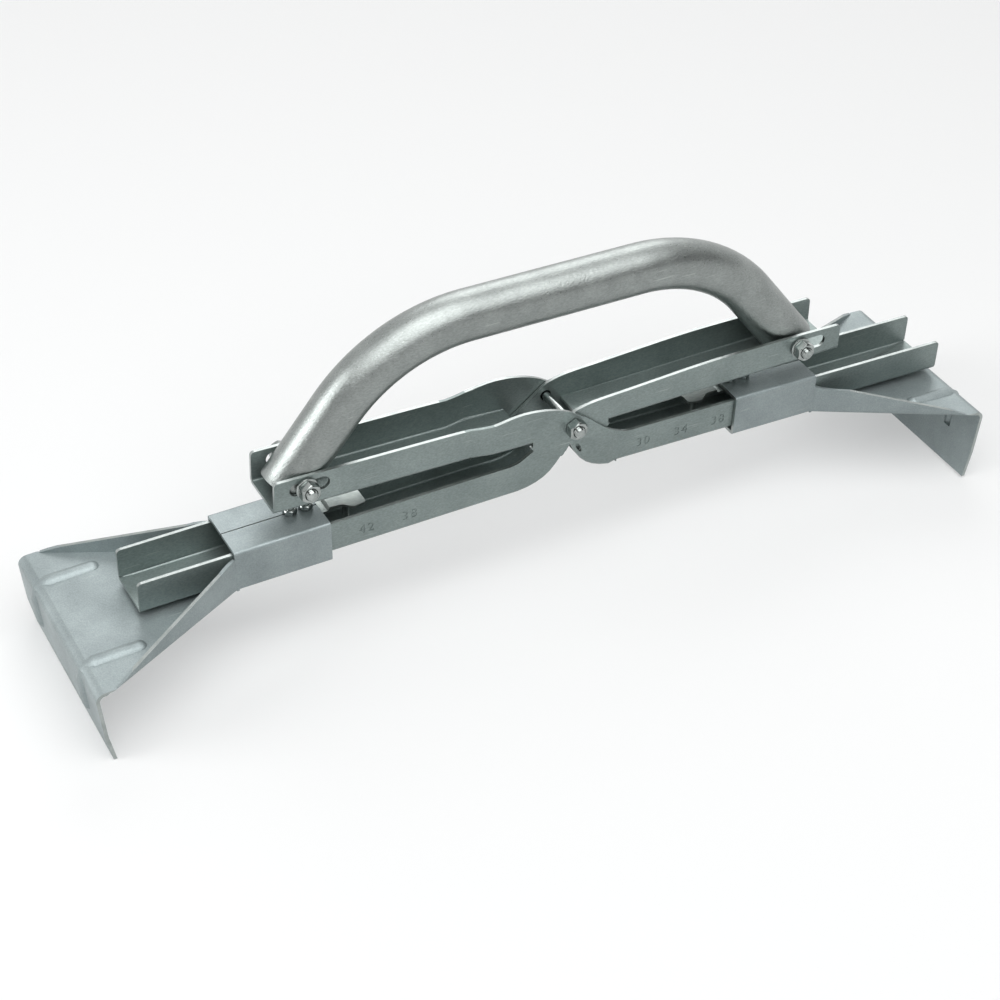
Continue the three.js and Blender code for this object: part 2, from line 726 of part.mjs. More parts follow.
// The origin is on the floor, under the middle of the whole tool.
const group = new THREE.Group();
group.add(lifter);
lifter.updateMatrixWorld(true);
const reach = new THREE.Box3().setFromObject(lifter, true);
const middle = reach.getCenter(new THREE.Vector3());
lifter.position.set(-middle.x, 0, -reach.min.z);

export default group;
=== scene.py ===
import json
import math
import bmesh
import bpy
from mathutils import Matrix, Vector


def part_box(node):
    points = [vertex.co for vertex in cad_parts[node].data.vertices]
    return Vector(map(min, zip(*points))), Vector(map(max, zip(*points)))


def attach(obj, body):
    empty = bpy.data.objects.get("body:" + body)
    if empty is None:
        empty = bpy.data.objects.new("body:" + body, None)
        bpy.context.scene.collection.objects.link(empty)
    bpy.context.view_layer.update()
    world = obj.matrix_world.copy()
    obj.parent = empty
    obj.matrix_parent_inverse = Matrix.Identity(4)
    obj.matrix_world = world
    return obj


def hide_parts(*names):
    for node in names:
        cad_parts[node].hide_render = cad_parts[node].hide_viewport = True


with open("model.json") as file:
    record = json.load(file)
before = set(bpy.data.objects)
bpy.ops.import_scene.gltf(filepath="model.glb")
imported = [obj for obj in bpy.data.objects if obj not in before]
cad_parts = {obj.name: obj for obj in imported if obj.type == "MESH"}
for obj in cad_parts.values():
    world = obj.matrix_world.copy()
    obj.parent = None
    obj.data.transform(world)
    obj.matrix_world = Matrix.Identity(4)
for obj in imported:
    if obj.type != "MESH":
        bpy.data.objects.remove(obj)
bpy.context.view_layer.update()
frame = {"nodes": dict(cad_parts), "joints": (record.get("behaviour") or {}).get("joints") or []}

mm = 0.001
jointSpots = {joint["name"]: Vector(joint["pos_m"]) for joint in frame["joints"] if "pos_m" in joint}
# the handle, the stamped scale and the camera are measured from a point beside the pivot bolt
lifterSpot = jointSpots["scissor"] - Vector((1.1, 0, -1.8)) * mm
print("frame loaded")


# small helpers
def clearSelection():
    bpy.ops.object.select_all(action="DESELECT")


def makeActive(piece):
    clearSelection()
    piece.select_set(True)
    bpy.context.view_layer.objects.active = piece


def settlePiece(name):
    # a fresh primitive gets its name, and its place goes into the mesh
    piece = bpy.context.active_object
    makeActive(piece)
    piece.name = name
    piece.data.name = name
    bpy.ops.object.transform_apply(location=True, rotation=True, scale=True)
    return piece


def editMode(on):
    bpy.ops.object.mode_set(mode="EDIT" if on else "OBJECT")


def applyModifier(piece, kind, **settings):
    makeActive(piece)
    modifier = piece.modifiers.new(kind.title(), kind)
    for key, value in settings.items():
        setattr(modifier, key, value)
    bpy.ops.object.modifier_apply(modifier=modifier.name)


def cutWith(piece, cutter, operation="DIFFERENCE"):
    applyModifier(piece, "BOOLEAN", object=cutter, operation=operation, solver="EXACT")
    bpy.data.objects.remove(cutter)


def breakEdges(piece, width, angle):
    limit = math.radians(angle)
    applyModifier(piece, "BEVEL", width=width * mm, segments=2, limit_method="ANGLE", angle_limit=limit)


def smoothPiece(piece, angle=35):
    makeActive(piece)
    bpy.ops.object.shade_smooth_by_angle(angle=math.radians(angle))


def finishPiece(piece, body, material, nodes):
    if material:  # a sheet piece has its own already
        piece.data.materials.append(material)
    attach(piece, body)
    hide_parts(*nodes)


# materials
def linearColour(code):
    channels = [int(code[i : i + 2], 16) / 255 for i in (1, 3, 5)]
    linear = [c / 12.92 if c <= 0.04045 else ((c + 0.055) / 1.055) ** 2.4 for c in channels]
    return (*linear, 1.0)


def addNode(tree, kind, links=None, **settings):
    # links maps a socket's name or number to a value or to another node's output
    node = tree.nodes.new(kind)
    for key, value in settings.items():
        setattr(node, key, value)
    for socket, value in (links or {}).items():
        if isinstance(value, bpy.types.NodeSocket):
            tree.links.new(value, node.inputs[socket])
        else:
            node.inputs[socket].default_value = value
    return node


def setRamp(node, stops):
    ramp = node.color_ramp
    while len(ramp.elements) < len(stops):
        ramp.elements.new(0.5)
    for element, (place, colour) in zip(ramp.elements, stops):
        element.position = place
        element.color = colour
    return node


def grey(value):
    return (value, value, value, 1.0)


def noiseValue(tree, place, size, detail, roughness=0.5):
    links = {"Vector": place, "Scale": 1 / (size * mm), "Detail": detail, "Roughness": roughness}
    return addNode(tree, "ShaderNodeTexNoise", links).outputs["Fac"]


def mappedValue(tree, value, source, target):
    # brings a value from one range to another
    links = {
        "Value": value,
        "From Min": source[0],
        "From Max": source[1],
        "To Min": target[0],
        "To Max": target[1],
    }
    return addNode(tree, "ShaderNodeMapRange", links).outputs["Result"]


def newMaterial(name):
    material = bpy.data.materials.new(name)
    material.use_nodes = True
    material.node_tree.nodes.clear()
    return material, material.node_tree


# what the zinc finishes share, with sizes in mm: how noise turns into tint, marks, gloss and relief
zincForm = {
    "tintFrom": 0.32,
    "tintTo": 0.68,
    "noiseRange": (0.3, 0.7),
    "markSize": 0.9,
    "markStretch": (0.05, 1.0, 1.0),
    "markFrom": 0.70,
    "markTo": 0.78,
    "roughnessSpread": 0.06,
    "reliefDepth": 0.1,
}


def zincPlate(name, settings):
    # electroplated zinc on mild steel: a cool satin metal with a blue-green cast, cloudy where the bath
    # left it, with a fine pitted grain that breaks up the highlights and a few thin handling marks
    z = zincForm
    material, tree = newMaterial(name)
    place = addNode(tree, "ShaderNodeTexCoord").outputs["Object"]
    clouds = noiseValue(tree, place, settings["cloudSize"], detail=4.0, roughness=0.55)
    tint = setRamp(
        addNode(tree, "ShaderNodeValToRGB", {"Fac": clouds}),
        [(z["tintFrom"], linearColour(settings["dark"])), (z["tintTo"], linearColour(settings["light"]))],
    )
    # the real grain is too fine to show, so it is drawn coarser
    along = addNode(tree, "ShaderNodeMapping", {"Vector": place, "Scale": settings["grainStretch"]})
    grain = noiseValue(tree, along.outputs["Vector"], settings["grainSize"], detail=3.0)
    speckle = noiseValue(tree, place, settings["speckleSize"], detail=2.0, roughness=0.6)
    mottle = settings["mottle"]
    shade = mappedValue(tree, grain, z["noiseRange"], (1 - mottle, 1 + mottle))
    mottled = addNode(
        tree, "ShaderNodeVectorMath", {0: tint.outputs["Color"], "Scale": shade}, operation="SCALE"
    )
    markPlace = addNode(
        tree,
        "ShaderNodeMapping",
        {"Vector": place, "Rotation": settings["markTurn"], "Scale": z["markStretch"]},
    )
    markNoise = noiseValue(tree, markPlace.outputs["Vector"], z["markSize"], detail=1.0)
    marks = setRamp(
        addNode(tree, "ShaderNodeValToRGB", {"Fac": markNoise}),
        [(z["markFrom"], grey(0.0)), (z["markTo"], grey(settings["marks"]))],
    )
    worn = addNode(
        tree,
        "ShaderNodeMix",
        {0: marks.outputs["Color"], 6: mottled.outputs["Vector"], 7: linearColour(settings["bare"])},
        data_type="RGBA",
    )
    smoothest = settings["roughness"] - z["roughnessSpread"]
    roughest = settings["roughness"] + z["roughnessSpread"]
    relief = addNode(tree, "ShaderNodeMath", {0: grain, 1: speckle}, operation="ADD")
    bump = addNode(
        tree,
        "ShaderNodeBump",
        {
            "Strength": settings["bump"],
            "Distance": z["reliefDepth"] * mm,
            "Height": relief.outputs["Value"],
        },
    )
    shader = addNode(
        tree,
        "ShaderNodeBsdfPrincipled",
        {
            "Base Color": worn.outputs[2],
            "Metallic": settings["metallic"],
            "Roughness": mappedValue(tree, speckle, z["noiseRange"], (smoothest, roughest)),
            "Normal": bump.outputs["Normal"],
        },
    )
    addNode(tree, "ShaderNodeOutputMaterial", {"Surface": shader.outputs["BSDF"]})
    return material


channelLook = {
    "dark": "#7b8684",
    "light": "#8b9694",
    "bare": "#b4bcba",
    "cloudSize": 30,
    "grainSize": 0.55,
    "grainStretch": (0.5, 1.0, 1.0),
    "speckleSize": 0.6,
    "mottle": 0.13,
    "marks": 0.35,
    "markTurn": (0.0, 0.1, 0.05),
    "metallic": 0.68,
    "roughness": 0.4,
    "bump": 0.45,
}
jawLook = {
    "dark": "#899394",
    "light": "#9aa4a5",
    "bare": "#b8c0c0",
    "cloudSize": 20,
    "grainSize": 0.6,
    "grainStretch": (1.0, 1.0, 1.0),
    "speckleSize": 0.8,
    "mottle": 0.1,
    "marks": 0.3,
    "markTurn": (0.0, 0.3, 0.9),
    "metallic": 0.6,
    "roughness": 0.46,
    "bump": 0.5,
}
tubeLook = {
    "dark": "#8b908e",
    "light": "#979c9a",
    "bare": "#c6cbc8",
    "cloudSize": 9,
    "grainSize": 0.6,
    "grainStretch": (0.4, 1.0, 1.0),
    "speckleSize": 0.7,
    "mottle": 0.12,
    "marks": 0.4,
    "markTurn": (0.0, 0.0, 0.0),
    "metallic": 1.0,
    "roughness": 0.33,
    "bump": 0.9,
}
fastenerLook = {
    "dark": "#8d9391",
    "light": "#b0b5b3",
    "bare": "#d0d5d3",
    "cloudSize": 3,
    "grainSize": 0.6,
    "grainStretch": (1.0, 1.0, 1.0),
    "speckleSize": 0.6,
    "mottle": 0.06,
    "marks": 0.0,
    "markTurn": (0.0, 0.0, 0.0),
    "metallic": 1.0,
    "roughness": 0.17,
    "bump": 0.2,
}
springLook = {
    "dark": "#7b8381",
    "light": "#959c99",
    "bare": "#b4bab8",
    "cloudSize": 8,
    "grainSize": 0.6,
    "grainStretch": (0.2, 1.0, 1.0),
    "speckleSize": 0.7,
    "mottle": 0.08,
    "marks": 0.2,
    "markTurn": (0.0, 0.0, 0.3),
    "metallic": 0.9,
    "roughness": 0.36,
    "bump": 0.3,
}
# sheared edges of the sheet: smoother, where the shear left clean metal under the zinc, and painted
# lighter as a painted edge highlight
shearedEdgeHighlightLook = {
    **fastenerLook,
    "dark": "#99a09e",
    "light": "#aeb4b2",
    "cloudSize": 6,
    "roughness": 0.34,
    "bump": 0.4,
}
shearedEdgeHighlight = zincPlate("shearedZincEdgePaintedHighlight", shearedEdgeHighlightLook)
channelZinc = zincPlate("channelZincSheet", channelLook)
jawZinc = zincPlate("jawZincSheet", jawLook)
tubeZinc = zincPlate("handleZincTube", tubeLook)
fastenerZinc = zincPlate("brightZincFastener", fastenerLook)
springZinc = zincPlate("platedSpringStrip", springLook)
print("materials made")


# pressed sheet pieces: the CAD solid's own form, with its sheet edges broken as pressing leaves them
channelSheet = {"slot": "channel_zinc", "material": channelZinc, "edge": 0.28}
jawSheet = {"slot": "jaw_zinc", "material": jawZinc, "edge": 0.28}
springStrip = {"slot": "spring_steel", "material": springZinc, "edge": 0.2}
sheetPieces = {
    "outer_arm": {"body": "outer_arm", **channelSheet},
    "inner_arm": {"body": "inner_arm", **channelSheet},
    "left_jaw": {"body": "left_jaw", **jawSheet},
    "right_jaw": {"body": "right_jaw", **jawSheet},
    "left_latch_tongue": {"body": "left_latch", **springStrip},
    "right_latch_tongue": {"body": "right_latch", **springStrip},
    "left_spring_root": {"body": "left_jaw", **springStrip},
    "right_spring_root": {"body": "right_jaw", **springStrip},
}
sheetMesh = {"weld": 0.002, "flat": math.radians(0.5), "corner": 40}


# the opening scale stamped on the near walls, at places in mm along each arm from beside the pivot
scaleNumbers = {
    "outer_arm": {"lean": 0.95, "level": -22.0, "places": {"30": 38.1, "34": 57.6, "38": 77.0}},
    "inner_arm": {"lean": -0.95, "level": -22.6, "places": {"42": -97.2, "38": -77.2}},
}
stamp = {"size": 6.4, "spacing": 1.25, "depth": 0.25, "wallFace": -12.8, "curveSteps": 3}


def stampNumbers(piece, scale):
    lean = math.radians(scale["lean"])
    for number, along in scale["places"].items():
        across = along * math.cos(lean) + scale["level"] * math.sin(lean)
        up = scale["level"] * math.cos(lean) - along * math.sin(lean)
        spot = lifterSpot + Vector((across, stamp["wallFace"], up)) * mm
        clearSelection()
        bpy.ops.object.text_add(location=spot, rotation=(math.pi / 2, lean, 0))
        letters = bpy.context.active_object.data
        letters.body = number
        letters.align_x = "CENTER"
        letters.align_y = "CENTER"
        letters.size = stamp["size"] * mm
        letters.space_character = stamp["spacing"]
        letters.extrude = stamp["depth"] * mm
        letters.resolution_u = stamp["curveSteps"]
        bpy.ops.object.convert(target="MESH")
        cutWith(piece, settlePiece("number_stamp"))


# a cut edge is a flat strip as wide as the sheet is thick, seen along the wall or across it
cutEdge = {
    "sheet": 1.5,
    "widthShares": (0.85, 1.04),
    "slack": 0.06,
    "mostTurn": 0.1,
    "beadsFrom": 188,  # the beads of a jaw are as narrow as a cut edge, but aren't one
    "beadsAcross": (23, 33),
}


def isSheared(face):
    sheet = cutEdge["sheet"]
    least, most = cutEdge["widthShares"]
    near, far = cutEdge["beadsAcross"]
    width = 2 * face.calc_area() / face.calc_perimeter() / mm
    depths = [vertex.co.y / mm for vertex in face.verts]
    middle = face.calc_center_median() / mm
    if abs(middle.x) > cutEdge["beadsFrom"] and near < abs(middle.y) < far:
        return False
    wide = abs(max(depths) - min(depths) - sheet) < cutEdge["slack"]
    acrossWall = wide and abs(face.normal.y) < cutEdge["mostTurn"]
    return acrossWall or sheet * least < width < sheet * most


# a fold's inner corner is round too: edges along an arm, their angle in radians below hollow
sheetFold = {"radius": 1.2, "steps": 3, "straight": 0.95, "shortest": 3, "hollow": -1.2}


def roundInnerFolds(mesh):
    s = sheetFold
    bpy.ops.mesh.select_all(action="DESELECT")
    for edge in bmesh.from_edit_mesh(mesh).edges:
        run = edge.verts[1].co - edge.verts[0].co
        alongArm = abs(run.x) > s["straight"] * run.length and run.length > s["shortest"] * mm
        if alongArm and edge.is_manifold and edge.calc_face_angle_signed() < s["hollow"]:
            edge.select = True
    bpy.ops.mesh.bevel(offset=s["radius"] * mm, segments=s["steps"], affect="EDGES")


# the inner arm's upper floor runs on towards the pivot bolt, from the end face at this place and levels
floorEnd = {
    "node": "inner_arm",
    "place": 33.6,
    "slack": 0.1,
    "levels": (66.3, 69.4),
    "facing": -0.9,
    "longer": (-10.5, 0, -0.17),
}


def lengthenFloor(mesh):
    place, slack = floorEnd["place"], floorEnd["slack"]
    low, high = floorEnd["levels"]
    bpy.ops.mesh.select_all(action="DESELECT")
    for face in bmesh.from_edit_mesh(mesh).faces:
        spots = [vertex.co / mm for vertex in face.verts]
        atEnd = all(abs(spot.x - place) < slack and low < spot.z < high for spot in spots)
        if atEnd and face.normal.x < floorEnd["facing"]:
            face.select = True
    bpy.ops.mesh.extrude_region_move(TRANSFORM_OT_translate={"value": Vector(floorEnd["longer"]) * mm})


# a flange runs out flush with the plate: a sloping cut from this reach and these levels in mm
flangeTip = {
    "reach": 206.6,
    "levels": {"left_jaw": 36.33, "right_jaw": 37.52},
    "slope": math.radians(21),
    "offset": 45,
    "size": (14, 10, 6),
}


def taperFlanges(piece, node):
    t = flangeTip
    side = -1 if node == "left_jaw" else 1
    length, _, height = t["size"]
    tip = Vector((side * t["reach"], 0, t["levels"][node]))
    inward = Vector((-side * math.cos(t["slope"]), 0, math.sin(t["slope"]))) * length / 2
    upward = Vector((side * math.sin(t["slope"]), 0, math.cos(t["slope"]))) * height / 2
    for edge in (-1, 1):
        spot = tip + inward + upward + Vector((0, edge * t["offset"], 0))
        bpy.ops.mesh.primitive_cube_add(size=1, location=spot * mm, rotation=(0, side * t["slope"], 0))
        bpy.context.active_object.scale = Vector(t["size"]) * mm
        cutWith(piece, settlePiece("flange_cut"))


def pressedPiece(node, settings):
    mesh = frame["nodes"][node].data.copy()
    mesh.materials.clear()
    # the second material is the sheared-edge one, painted lighter as a painted edge highlight
    for material in (settings["material"], shearedEdgeHighlight):
        mesh.materials.append(material)
    piece = bpy.data.objects.new(node + "_sheet", mesh)
    bpy.context.scene.collection.objects.link(piece)
    makeActive(piece)
    editMode(True)
    bpy.ops.mesh.select_all(action="SELECT")
    bpy.ops.mesh.customdata_custom_splitnormals_clear()
    bpy.ops.mesh.remove_doubles(threshold=sheetMesh["weld"] * mm)
    bpy.ops.mesh.dissolve_limited(angle_limit=sheetMesh["flat"])
    # faces taken for sheared edges get the second material, whose lighter colour is a painted edge
    # highlight
    for face in bmesh.from_edit_mesh(mesh).faces:
        face.material_index = int(isSheared(face))
    if node.endswith("arm"):
        roundInnerFolds(mesh)
    if node == floorEnd["node"]:
        lengthenFloor(mesh)
    editMode(False)
    if node in flangeTip["levels"]:
        taperFlanges(piece, node)
    breakEdges(piece, settings["edge"], sheetMesh["corner"])
    if node in scaleNumbers:
        stampNumbers(piece, scaleNumbers[node])
    smoothPiece(piece)
    applyModifier(piece, "WEIGHTED_NORMAL", keep_sharp=True)
    finishPiece(piece, settings["body"], None, [node])


for node, settings in sheetPieces.items():
    pressedPiece(node, settings)
print("sheet pieces made")


# the handle: one tube bent twice, its ends trimmed to sit in the channels
tube = {
    "radius": 11.0,
    "wall": 1.5,
    "sides": 64,
    "top": 59.9,
    "corner": 77.2,
    "shift": -4.0,
    "footPlace": 120.2,
    "footLevel": 5.5,
    "boltLevels": {-1: 6.4, 1: 4.0},
    "bend": 76.0,
    "belowFoot": 6.5,
    "floorLevel": -0.6,
    "pinchFrom": 88,
    "pinchOver": 16,
    "pinchedHalf": 10.4,
    "boreRadius": 2.7,
    "boreLength": 40,
    "edge": 0.3,
    "bendSteps": 28,
    "legSteps": 8,
    "gripSteps": 6,
}


def makeHandle():
    t = tube
    slope = math.atan2(t["top"] - t["footLevel"], t["footPlace"] - t["corner"])
    reach = t["bend"] * math.tan(slope / 2)
    grip = t["corner"] - reach
    leg = (t["footPlace"] - t["corner"]) / math.cos(slope) - reach + t["belowFoot"]
    middle = lifterSpot + Vector((t["shift"], 0, 0)) * mm
    up = Vector((math.cos(slope), 0, math.sin(slope))) * leg * mm
    below = Vector((math.cos(slope), 0, math.sin(slope))) * t["belowFoot"]
    low = Vector((-t["footPlace"], 0, t["footLevel"])) - below
    bpy.ops.mesh.primitive_circle_add(
        vertices=t["sides"],
        radius=t["radius"] * mm,
        fill_type="NOTHING",
        location=middle + low * mm,
        rotation=(0, math.pi / 2 - slope, 0),
    )
    piece = settlePiece("handle_bent_tube")
    editMode(True)
    bpy.ops.mesh.select_all(action="SELECT")
    for _ in range(t["legSteps"]):
        bpy.ops.mesh.extrude_region_move(TRANSFORM_OT_translate={"value": up / t["legSteps"]})
    for side in (-1, 1):
        centre = middle + Vector((side * grip, 0, t["top"] - t["bend"])) * mm
        bpy.ops.mesh.spin(steps=t["bendSteps"], angle=slope, center=centre, axis=(0, -1, 0))
        if side < 0:
            step = (2 * grip * mm / t["gripSteps"], 0, 0)
            for _ in range(t["gripSteps"]):
                bpy.ops.mesh.extrude_region_move(TRANSFORM_OT_translate={"value": step})
    down = Vector((up.x, 0, -up.z))
    for _ in range(t["legSteps"]):
        bpy.ops.mesh.extrude_region_move(TRANSFORM_OT_translate={"value": down / t["legSteps"]})
    bpy.ops.mesh.select_all(action="SELECT")
    bpy.ops.mesh.normals_make_consistent(inside=False)
    floor = lifterSpot + Vector((0, 0, t["floorLevel"])) * mm
    bpy.ops.mesh.bisect(plane_co=floor, plane_no=(0, 0, -1), clear_outer=True)
    editMode(False)
    for vertex in piece.data.vertices:
        share = (vertex.co.x - middle.x - t["pinchFrom"] * mm) / (t["pinchOver"] * mm)
        share = min(max(share, 0), 1)
        share = share * share * (3 - 2 * share)  # the pinch starts and ends softly
        vertex.co.y *= 1 - share * (1 - t["pinchedHalf"] / t["radius"])
    applyModifier(piece, "SOLIDIFY", thickness=t["wall"] * mm, offset=-1.0, use_even_offset=True)
    for side, level in t["boltLevels"].items():
        across = t["footPlace"] + (t["footLevel"] - level) / math.tan(slope)
        bpy.ops.mesh.primitive_cylinder_add(
            vertices=32,
            radius=t["boreRadius"] * mm,
            depth=t["boreLength"] * mm,
            location=middle + Vector((side * across, 0, level)) * mm,
            rotation=(math.pi / 2, 0, 0),
        )
        cutWith(piece, settlePiece("bolt_bore"))
    breakEdges(piece, t["edge"], 45)
    smoothPiece(piece)
    finishPiece(piece, "handle", tubeZinc, ["handle_tube"])


makeHandle()
print("handle made")


# fasteners
def turnTo(direction):
    # the turn that lays a primitive's own axis along a direction
    return Vector((0, 0, 1)).rotation_difference(direction).to_euler()


def turnedPiece(name, start, profile, axis, sides=32):
    # profile: radius and distance along the axis in mm, one ring after another
    direction = Vector(axis)
    radius, along = profile[0]
    bpy.ops.mesh.primitive_circle_add(
        vertices=sides,
        radius=radius * mm,
        fill_type="NGON",
        location=start + direction * along * mm,
        rotation=turnTo(direction),
    )
    piece = settlePiece(name)
    editMode(True)
    bpy.ops.mesh.select_all(action="SELECT")
    for nextRadius, nextAlong in profile[1:]:
        step = direction * (nextAlong - along) * mm
        bpy.ops.mesh.extrude_region_move(TRANSFORM_OT_translate={"value": step})
        ratio = nextRadius / radius
        centre = start + direction * nextAlong * mm
        bpy.ops.transform.resize(value=(ratio, ratio, ratio), center_override=centre)
        radius, along = nextRadius, nextAlong
    bpy.ops.mesh.select_all(action="SELECT")
    bpy.ops.mesh.normals_make_consistent(inside=False)
    editMode(False)
    return piece


threadForm = {"crestEnd": 0.12, "root": 0.5, "crestStart": 0.88}  # shares of the pitch


def threadProfile(radius, depth, pitch, start, end):
    # crests and roots of a fine thread, as close rings
    rings = []
    along = start
    while along + pitch <= end:
        rings.append((radius, along + pitch * threadForm["crestEnd"]))
        rings.append((radius - depth, along + pitch * threadForm["root"]))
        rings.append((radius, along + pitch * threadForm["crestStart"]))
        along += pitch
    return rings


# a hexagon is turned to a cone at its outer face, and a nut's bore is countersunk at both ends
hexForm = {
    "body": 1.02,
    "face": 0.49,
    "chamfer": 0.65,
    "past": 0.01,
    "sink": 0.5,
    "sinkDepth": 0.45,
    "sinkPast": 0.1,
    "edge": 0.12,
}


def hexPiece(name, start, axis, flats, height, bore):
    h = hexForm
    direction = Vector(axis)
    corner = flats / math.sqrt(3)
    middle = start + direction * height / 2 * mm
    bpy.ops.mesh.primitive_cylinder_add(
        vertices=6, radius=corner * mm, depth=height * mm, location=middle, rotation=turnTo(direction)
    )
    piece = settlePiece(name)
    wide = corner * h["body"]
    cone = [(wide, 0), (wide, height - h["chamfer"]), (flats * h["face"], height + h["past"])]
    cutWith(piece, turnedPiece("chamfer_cone", start, cone, axis, 48), "INTERSECT")
    if bore:
        sunk = bore + h["sink"]
        depth, past = h["sinkDepth"], h["sinkPast"]
        hole = [(sunk, -past), (bore, depth), (bore, height - depth), (sunk, height + past)]
        cutWith(piece, turnedPiece("nut_bore", start, hole, axis))
    breakEdges(piece, h["edge"], 25)
    smoothPiece(piece, 30)
    return piece


boltSize = {
    "shank": 2.1,
    "thread": 2.42,
    "depth": 0.32,
    "pitch": 0.8,
    "tipLess": 0.55,
    "tipEdge": (0.1, 0.42),
    "threadFrom": 0.45,
    "threadTo": 9.7,
    "pivotThreadTo": 12.5,
    "runOut": 0.4,
    "intoHead": 0.5,
    "headFlats": 8,
    "headHeight": 3.5,
}
nutSize = {"flats": 8, "bore": 2.5}
washerSize = {"face": 4.5, "radius": 4.8, "edge": 0.25, "bore": 2.7, "past": 0.5}


def nodeBox(node):
    low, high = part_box(node)
    return (low + high) / 2, low, high


def makeBolt(node, body):
    b = boltSize
    middle, low, high = nodeBox(node)
    start = Vector((middle.x, low.y, middle.z))
    length = (high.y - low.y) / mm
    headFrom = length - b["headHeight"]
    threadTo = b["pivotThreadTo"] if node == "pivot_bolt" else b["threadTo"]
    edgeLess, edgeAt = b["tipEdge"]
    profile = [(b["thread"] - b["tipLess"], 0), (b["thread"] - edgeLess, edgeAt)]
    profile += threadProfile(b["thread"], b["depth"], b["pitch"], b["threadFrom"], threadTo)
    profile += [(b["shank"], threadTo + b["runOut"]), (b["shank"], headFrom + b["intoHead"])]
    rod = turnedPiece(node + "_turned", start, profile, (0, 1, 0), 36)
    smoothPiece(rod, 30)
    headStart = start + Vector((0, headFrom, 0)) * mm
    head = hexPiece(node + "_head", headStart, (0, 1, 0), b["headFlats"], b["headHeight"], 0)
    finishPiece(rod, body, fastenerZinc, [node])
    finishPiece(head, body, fastenerZinc, [node])


def makeNut(node, body):
    middle, low, high = nodeBox(node)
    start = Vector((middle.x, high.y, middle.z))
    height = (high.y - low.y) / mm
    nut = hexPiece(node + "_hex", start, (0, -1, 0), nutSize["flats"], height, nutSize["bore"])
    finishPiece(nut, body, fastenerZinc, [node])


def makeWasher(node, body):
    w = washerSize
    middle, low, high = nodeBox(node)
    height = (high.y - low.y) / mm
    outer = [(w["face"], 0), (w["radius"], w["edge"])]
    outer += [(w["radius"], height - w["edge"]), (w["face"], height)]
    start = Vector((middle.x, low.y, middle.z))
    washer = turnedPiece(node + "_disc", start, outer, (0, 1, 0), 48)
    hole = [(w["bore"], -w["past"]), (w["bore"], height + w["past"])]
    cutWith(washer, turnedPiece("washer_bore", start, hole, (0, 1, 0)))
    smoothPiece(washer, 40)
    finishPiece(washer, body, fastenerZinc, [node])


makeBolt("pivot_bolt", "outer_arm")
makeNut("pivot_nut", "outer_arm")
for side, body in (("left", "left_handle_pin"), ("right", "handle")):
    makeBolt(side + "_handle_bolt", body)
    makeWasher(side + "_handle_washer", body)
    makeNut(side + "_handle_nut", body)
print("bolts made")


# the small screws and nuts that clamp the latch springs stand square to their sleeve
screwSize = {
    "lean": math.radians(0.95),
    "head": [(2.2, 0), (2.7, 0.5), (2.7, 1.4), (1.5, 1.41)],
    "thread": 1.5,
    "depth": 0.2,
    "pitch": 0.5,
    "threadFrom": 1.5,
    "tip": 0.35,
    "nutFlats": 5.5,
    "nutHeight": 2.2,
    "nutBore": 1.6,
}


def makeLatchScrew(side, count):
    s = screwSize
    lean = s["lean"] * (1 if side == "right" else -1)
    axis = (math.sin(lean), 0, math.cos(lean))
    body = side + "_jaw"
    screwNode = f"{side}_latch_screw_{count}"
    nutNode = f"{side}_latch_nut_{count}"
    screwMiddle, low, high = nodeBox(screwNode)
    length = (high.z - low.z) / mm
    start = screwMiddle - Vector(axis) * length / 2 * mm
    threadTo = length - s["tip"]
    profile = list(s["head"])
    profile += threadProfile(s["thread"], s["depth"], s["pitch"], s["threadFrom"], threadTo)
    profile += [(s["thread"] - s["tip"], length)]
    screw = turnedPiece(screwNode + "_turned", start, profile, axis)
    smoothPiece(screw, 30)
    finishPiece(screw, body, fastenerZinc, [screwNode])
    height = s["nutHeight"]
    nutStart = nodeBox(nutNode)[0] - Vector(axis) * height / 2 * mm
    nut = hexPiece(nutNode + "_hex", nutStart, axis, s["nutFlats"], height, s["nutBore"])
    finishPiece(nut, body, fastenerZinc, [nutNode])


for side in ("left", "right"):
    for count in (1, 2):
        makeLatchScrew(side, count)
print("latch fasteners made")


# floor, light and camera, in metres; the world's band is placed by the direction of view
studio = {
    "floorSize": 12.0,
    "floorLevel": -0.0002,
    "floorColour": "#eceded",
    "floorGlow": 0.35,
    "glowReach": (0.7, 2.6),
    "fill": 0.12,
    "bandHeights": (0.24, 0.34, 0.64, 0.8),
    "bandDepth": (-0.3, 0.3),
    "bandLight": (0.12, 0.9),
}


def seenRays(tree):
    # 1 for the rays that show the background: straight, mirrored or passed through
    path = addNode(tree, "ShaderNodeLightPath")
    mirrored = addNode(
        tree,
        "ShaderNodeMath",
        {0: path.outputs["Is Glossy Ray"], 1: path.outputs["Is Transmission Ray"]},
        operation="MAXIMUM",
    )
    return addNode(
        tree,
        "ShaderNodeMath",
        {0: path.outputs["Is Camera Ray"], 1: mirrored.outputs["Value"]},
        operation="MAXIMUM",
    ).outputs["Value"]


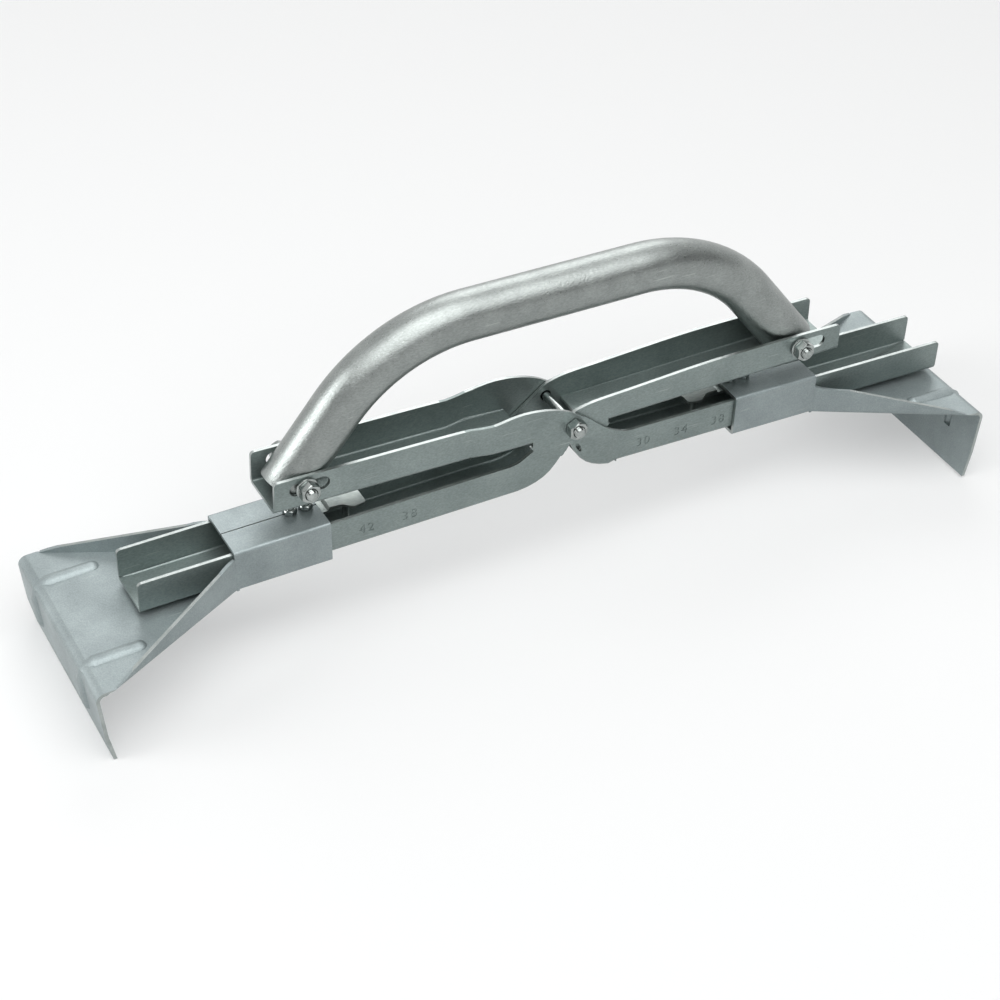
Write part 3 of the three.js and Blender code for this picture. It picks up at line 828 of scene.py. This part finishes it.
def studioFloor():
    clearSelection()
    bpy.ops.mesh.primitive_plane_add(size=studio["floorSize"], location=(0, 0, studio["floorLevel"]))
    floor = settlePiece("studio_floor")
    material, tree = newMaterial("paleFloor")
    paint = addNode(
        tree, "ShaderNodeBsdfDiffuse", {"Color": linearColour(studio["floorColour"]), "Roughness": 0.5}
    )
    glow = addNode(tree, "ShaderNodeEmission", {"Color": grey(1.0), "Strength": 1.0})
    # far from the object the floor glows more and more, and meets the white horizon without a line
    place = addNode(tree, "ShaderNodeTexCoord").outputs["Object"]
    distance = addNode(tree, "ShaderNodeVectorMath", {0: place}, operation="LENGTH")
    glows = (studio["floorGlow"], 1.0)
    glowing = mappedValue(tree, distance.outputs["Value"], studio["glowReach"], glows)
    share = addNode(tree, "ShaderNodeMath", {0: seenRays(tree), 1: glowing}, operation="MULTIPLY")
    both = addNode(
        tree,
        "ShaderNodeMixShader",
        {0: share.outputs["Value"], 1: paint.outputs["BSDF"], 2: glow.outputs["Emission"]},
    )
    addNode(tree, "ShaderNodeOutputMaterial", {"Surface": both.outputs["Shader"]})
    floor.data.materials.append(material)


def studioWorld():
    # a pale room: white along the horizon, darker above it in front, and a white ceiling
    world = bpy.data.worlds.new("studioWorld")
    bpy.context.scene.world = world
    world.use_nodes = True
    tree = world.node_tree
    tree.nodes.clear()
    way = addNode(tree, "ShaderNodeTexCoord").outputs["Generated"]
    parts = addNode(tree, "ShaderNodeSeparateXYZ", {0: way})
    lights = (1.0, 0.0, 0.0, 1.0)
    height = setRamp(
        addNode(tree, "ShaderNodeValToRGB", {"Fac": parts.outputs["Z"]}),
        [(place, grey(light)) for place, light in zip(studio["bandHeights"], lights)],
    )
    walls = mappedValue(tree, parts.outputs["Y"], studio["bandDepth"], studio["bandLight"])
    room = addNode(tree, "ShaderNodeMath", {0: height.outputs["Color"], 1: walls}, operation="MAXIMUM")
    fill = addNode(tree, "ShaderNodeBackground", {"Color": grey(1.0), "Strength": studio["fill"]})
    seen = addNode(tree, "ShaderNodeBackground", {"Color": grey(1.0), "Strength": room.outputs["Value"]})
    both = addNode(
        tree,
        "ShaderNodeMixShader",
        {0: seenRays(tree), 1: fill.outputs["Background"], 2: seen.outputs["Background"]},
    )
    addNode(tree, "ShaderNodeOutputWorld", {"Surface": both.outputs["Shader"]})


lamps = {
    "key": {"spot": (-0.10, -0.50, 1.22), "size": 1.8, "power": 19.5},
    "back": {"spot": (0.75, 1.35, 1.20), "size": 1.3, "power": 10.0},
    "side": {"spot": (-1.25, 0.20, 0.60), "size": 0.8, "power": 8.0},
}


def studioLamps():
    for name, lamp in lamps.items():
        spot = Vector(lamp["spot"])
        bpy.ops.object.light_add(type="AREA", location=spot)
        light = bpy.context.active_object
        light.name = name + "_softbox"
        light.data.shape = "DISK"
        light.data.size = lamp["size"]
        light.data.energy = lamp["power"]
        light.rotation_euler = (lifterSpot - spot).to_track_quat("-Z", "Y").to_euler()


view = {
    "spot": (-0.406128, -0.688223, 0.570461),
    "yaw": 28.892,
    "pitch": -37.947,
    "roll": 1.675,
    "focal": 2.265591,
    "sensor": 36,
    "nearest": 0.01,
}


def studioCamera():
    yaw, pitch, roll = (math.radians(view[key]) for key in ("yaw", "pitch", "roll"))
    forward = Vector((math.sin(yaw) * math.cos(pitch), math.cos(yaw) * math.cos(pitch), math.sin(pitch)))
    level = Vector((math.cos(yaw), -math.sin(yaw), 0))
    upward = level.cross(forward)
    right = math.cos(roll) * level + math.sin(roll) * upward
    up = math.cos(roll) * upward - math.sin(roll) * level
    bpy.ops.object.camera_add()
    camera = bpy.context.active_object
    camera.name = "studio_camera"
    turn = Matrix((right, up, -forward)).transposed().to_4x4()
    camera.matrix_world = Matrix.Translation(lifterSpot + Vector(view["spot"])) @ turn
    camera.data.sensor_width = view["sensor"]
    camera.data.lens = view["sensor"] * view["focal"]
    camera.data.clip_start = view["nearest"]
    bpy.context.scene.camera = camera


studioFloor()
studioWorld()
studioLamps()
studioCamera()
bpy.context.scene.view_settings.view_transform = "Standard"
print("studio made")
